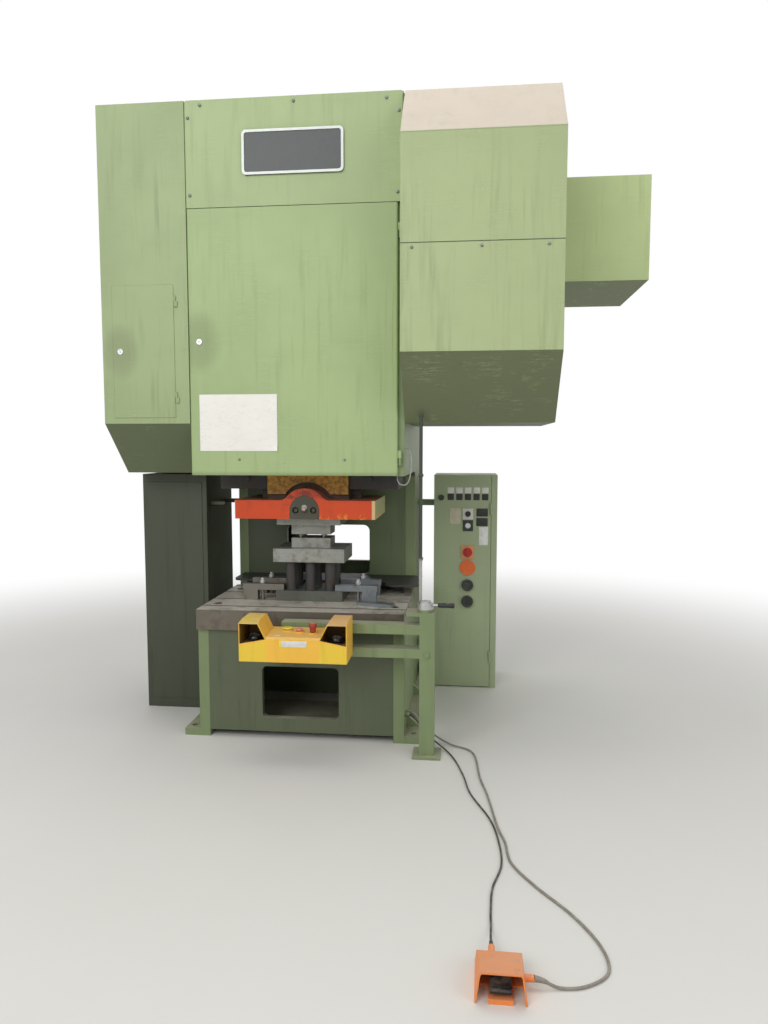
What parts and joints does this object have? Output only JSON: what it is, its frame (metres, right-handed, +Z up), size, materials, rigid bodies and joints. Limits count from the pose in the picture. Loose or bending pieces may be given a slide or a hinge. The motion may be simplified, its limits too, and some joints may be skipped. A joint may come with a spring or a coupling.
{
  "type": "mechanical stamping press",
  "caption": "C-frame eccentric press with guarded flywheel drive, T-slot bolster, mounted punch tool, two-hand console, control cabinet and foot switch.",
  "frame": {"origin": "on the floor, straight under the axis of the ram", "axes": "+X to the operator's right, +Y to the back, +Z up"},
  "size_m": [3.096, 3.577, 3.504],
  "materials": {
    "cover_green": "satin paint",
    "frame_green": "satin paint",
    "cabinet_green": "satin paint",
    "ram_paint": "worn gloss paint",
    "console_paint": "gloss paint",
    "pedal_paint": "gloss paint",
    "motor_paint": "satin paint",
    "bare_iron": "machined, oiled",
    "dark_iron": "dark, oily",
    "tool_steel": "ground",
    "bright_steel": "polished",
    "bronze": "machined",
    "plate_alu": "blank, brushed",
    "belt_rubber": "matt",
    "cord_grey": "dusty",
    "cord_black": "dusty",
    "black_plastic": "matt",
    "red_plastic": "gloss",
    "yellow_plastic": "gloss",
    "pink_plastic": "gloss"
  },
  "bodies": {
    "frame": {"side_plates": "frame_green", "column_webs": "frame_green", "bed": "frame_green", "guide_posts": "dark_iron", "gibs": "dark_iron", "frame_bolts": "dark_iron", "crank_bearings": "dark_iron", "bolster": "bare_iron", "rear_table": "dark_iron", "die_base": "tool_steel", "die_columns": "dark_iron", "die_table": "tool_steel", "die_clamps": "tool_steel", "upper_cover": "cover_green", "left_cover": "cover_green", "nameplate": "plate_alu", "flywheel_guard_upper": "cover_green", "flywheel_guard_lower": "cover_green", "motor_housing": "cover_green", "motor": "motor_paint", "drive_belts": "belt_rubber", "cam_switch": "motor_paint", "control_cabinet": "cabinet_green", "service_cabinet": "cabinet_green", "console_frame": "frame_green", "console_housing": "console_paint", "conduits": "bright_steel", "foot_switch": "pedal_paint", "foot_cable": "cord_grey", "foot_lead": "cord_black"},
    "crank": {"crankshaft": "bright_steel", "stroke_sleeve": "bronze", "clutch_brake": "dark_iron"},
    "rod": {"connecting_rod": "dark_iron", "ball_screw": "bright_steel"},
    "slide": {"ram": "ram_paint", "shank_clamp": "dark_iron", "upper_die": "tool_steel"},
    "flywheel": {"flywheel": "dark_iron"},
    "rotor": {"motor_pulley": "dark_iron"},
    "main_door": {"main_door": "cover_green"},
    "main_door_lock": {"main_door_lock": "bright_steel"},
    "left_door": {"left_door": "cover_green"},
    "left_door_lock": {"left_door_lock": "bright_steel"},
    "cabinet_door": {"cabinet_door": "cabinet_green"},
    "mode_selector": {"mode_selector": "black_plastic"},
    "key_switch": {"key_switch": "bright_steel"},
    "main_switch": {"main_switch": "red_plastic"},
    "palm_button_left": {"palm_button_left": "black_plastic"},
    "palm_button_right": {"palm_button_right": "black_plastic"},
    "yellow_button": {"yellow_button": "yellow_plastic"},
    "pink_button": {"pink_button": "pink_plastic"},
    "stop_button": {"stop_button": "red_plastic"},
    "foot_pedal": {"foot_pedal": "black_plastic"},
    "hand_lever": {"hand_lever": "bright_steel"},
    "cabinet_button_1": {"cabinet_button_1": "black_plastic"},
    "cabinet_button_2": {"cabinet_button_2": "black_plastic"},
    "cabinet_button_3": {"cabinet_button_3": "black_plastic"},
    "cabinet_button_4": {"cabinet_button_4": "black_plastic"},
    "cabinet_button_5": {"cabinet_button_5": "black_plastic"}
  },
  "joints": [
    {"name": "crank_turn", "type": "hinge", "parent": "frame", "child": "crank", "pos_m": [0, 0, 2.645], "axis": [1, 0, 0], "range_deg": [0, 180]},
    {"name": "ram_slide", "type": "slide", "parent": "frame", "child": "slide", "axis": [0, 0, 1], "range_m": [0, 0.05]},
    {"name": "rod_swing", "type": "hinge", "parent": "crank", "child": "rod", "pos_m": [0, 0, 2.62], "axis": [1, 0, 0], "range_deg": [-180, 0]},
    {"name": "flywheel_turn", "type": "hinge", "parent": "frame", "child": "flywheel", "pos_m": [0.82, 0, 2.645], "axis": [1, 0, 0], "continuous": true},
    {"name": "rotor_turn", "type": "hinge", "parent": "frame", "child": "rotor", "pos_m": [0.82, 0.75, 2.967], "axis": [1, 0, 0], "continuous": true},
    {"name": "main_door_turn", "type": "hinge", "parent": "frame", "child": "main_door", "pos_m": [0.566, -0.418, 2.2], "axis": [0, 0, 1], "range_deg": [0, 90]},
    {"name": "main_door_lock_turn", "type": "hinge", "parent": "main_door", "child": "main_door_lock", "pos_m": [-0.538, -0.43, 2.233], "axis": [0, 1, 0], "range_deg": [0, 90]},
    {"name": "left_door_turn", "type": "hinge", "parent": "frame", "child": "left_door", "pos_m": [-0.672, -0.4356, 2.18], "axis": [0, 0, 1], "range_deg": [0, 90]},
    {"name": "left_door_lock_turn", "type": "hinge", "parent": "left_door", "child": "left_door_lock", "pos_m": [-0.99, -0.4333, 2.185], "axis": [0, 1, 0], "range_deg": [0, 90]},
    {"name": "cabinet_door_turn", "type": "hinge", "parent": "frame", "child": "cabinet_door", "pos_m": [1.09, 0.652, 0.74], "axis": [0, 0, 1], "range_deg": [0, 110]},
    {"name": "cabinet_button_1_press", "type": "slide", "parent": "cabinet_door", "child": "cabinet_button_1", "axis": [0, 1, 0], "range_m": [0, 0.004], "stiffness_N_per_m": 400, "springref_m": -0.002},
    {"name": "cabinet_button_2_press", "type": "slide", "parent": "cabinet_door", "child": "cabinet_button_2", "axis": [0, 1, 0], "range_m": [0, 0.004], "stiffness_N_per_m": 400, "springref_m": -0.002},
    {"name": "cabinet_button_3_press", "type": "slide", "parent": "cabinet_door", "child": "cabinet_button_3", "axis": [0, 1, 0], "range_m": [0, 0.004], "stiffness_N_per_m": 400, "springref_m": -0.002},
    {"name": "cabinet_button_4_press", "type": "slide", "parent": "cabinet_door", "child": "cabinet_button_4", "axis": [0, 1, 0], "range_m": [0, 0.004], "stiffness_N_per_m": 400, "springref_m": -0.002},
    {"name": "cabinet_button_5_press", "type": "slide", "parent": "cabinet_door", "child": "cabinet_button_5", "axis": [0, 1, 0], "range_m": [0, 0.004], "stiffness_N_per_m": 400, "springref_m": -0.002},
    {"name": "mode_selector_turn", "type": "hinge", "parent": "cabinet_door", "child": "mode_selector", "pos_m": [0.934, 0.657, 1.204], "axis": [0, 1, 0], "range_deg": [-45, 45]},
    {"name": "key_switch_turn", "type": "hinge", "parent": "cabinet_door", "child": "key_switch", "pos_m": [0.934, 0.657, 1.124], "axis": [0, 1, 0], "range_deg": [0, 90]},
    {"name": "main_switch_turn", "type": "hinge", "parent": "cabinet_door", "child": "main_switch", "pos_m": [0.934, 0.654, 0.943], "axis": [0, 1, 0], "range_deg": [0, 90]},
    {"name": "palm_button_left_press", "type": "slide", "parent": "frame", "child": "palm_button_left", "axis": [0, 0, -1], "range_m": [0, 0.008], "stiffness_N_per_m": 600, "springref_m": -0.003},
    {"name": "palm_button_right_press", "type": "slide", "parent": "frame", "child": "palm_button_right", "axis": [0, 0, -1], "range_m": [0, 0.008], "stiffness_N_per_m": 600, "springref_m": -0.003},
    {"name": "yellow_button_press", "type": "slide", "parent": "frame", "child": "yellow_button", "axis": [0, 0, -1], "range_m": [0, 0.004], "stiffness_N_per_m": 600, "springref_m": -0.004},
    {"name": "pink_button_press", "type": "slide", "parent": "frame", "child": "pink_button", "axis": [0, 0, -1], "range_m": [0, 0.004], "stiffness_N_per_m": 600, "springref_m": -0.004},
    {"name": "stop_button_press", "type": "slide", "parent": "frame", "child": "stop_button", "axis": [0, 0, -1], "range_m": [0, 0.004], "stiffness_N_per_m": 600, "springref_m": -0.004},
    {"name": "foot_pedal_press", "type": "hinge", "parent": "frame", "child": "foot_pedal", "pos_m": [1.048, -2.261, 0.04], "axis": [1, 0, 0], "range_deg": [0, 6], "stiffness_Nm_per_rad": 25, "springref_deg": -11.46},
    {"name": "hand_lever_turn", "type": "hinge", "parent": "frame", "child": "hand_lever", "pos_m": [0.712, -0.54, 0.8], "axis": [0, 0, 1], "range_deg": [-30, 30]}
  ],
  "couplings": [
    {"joint": "ram_slide", "follows": "crank_turn", "m_per_rad": 0.015915},
    {"joint": "rod_swing", "follows": "crank_turn", "ratio": -1},
    {"joint": "rotor_turn", "follows": "flywheel_turn", "ratio": 5.0909}
  ]
}
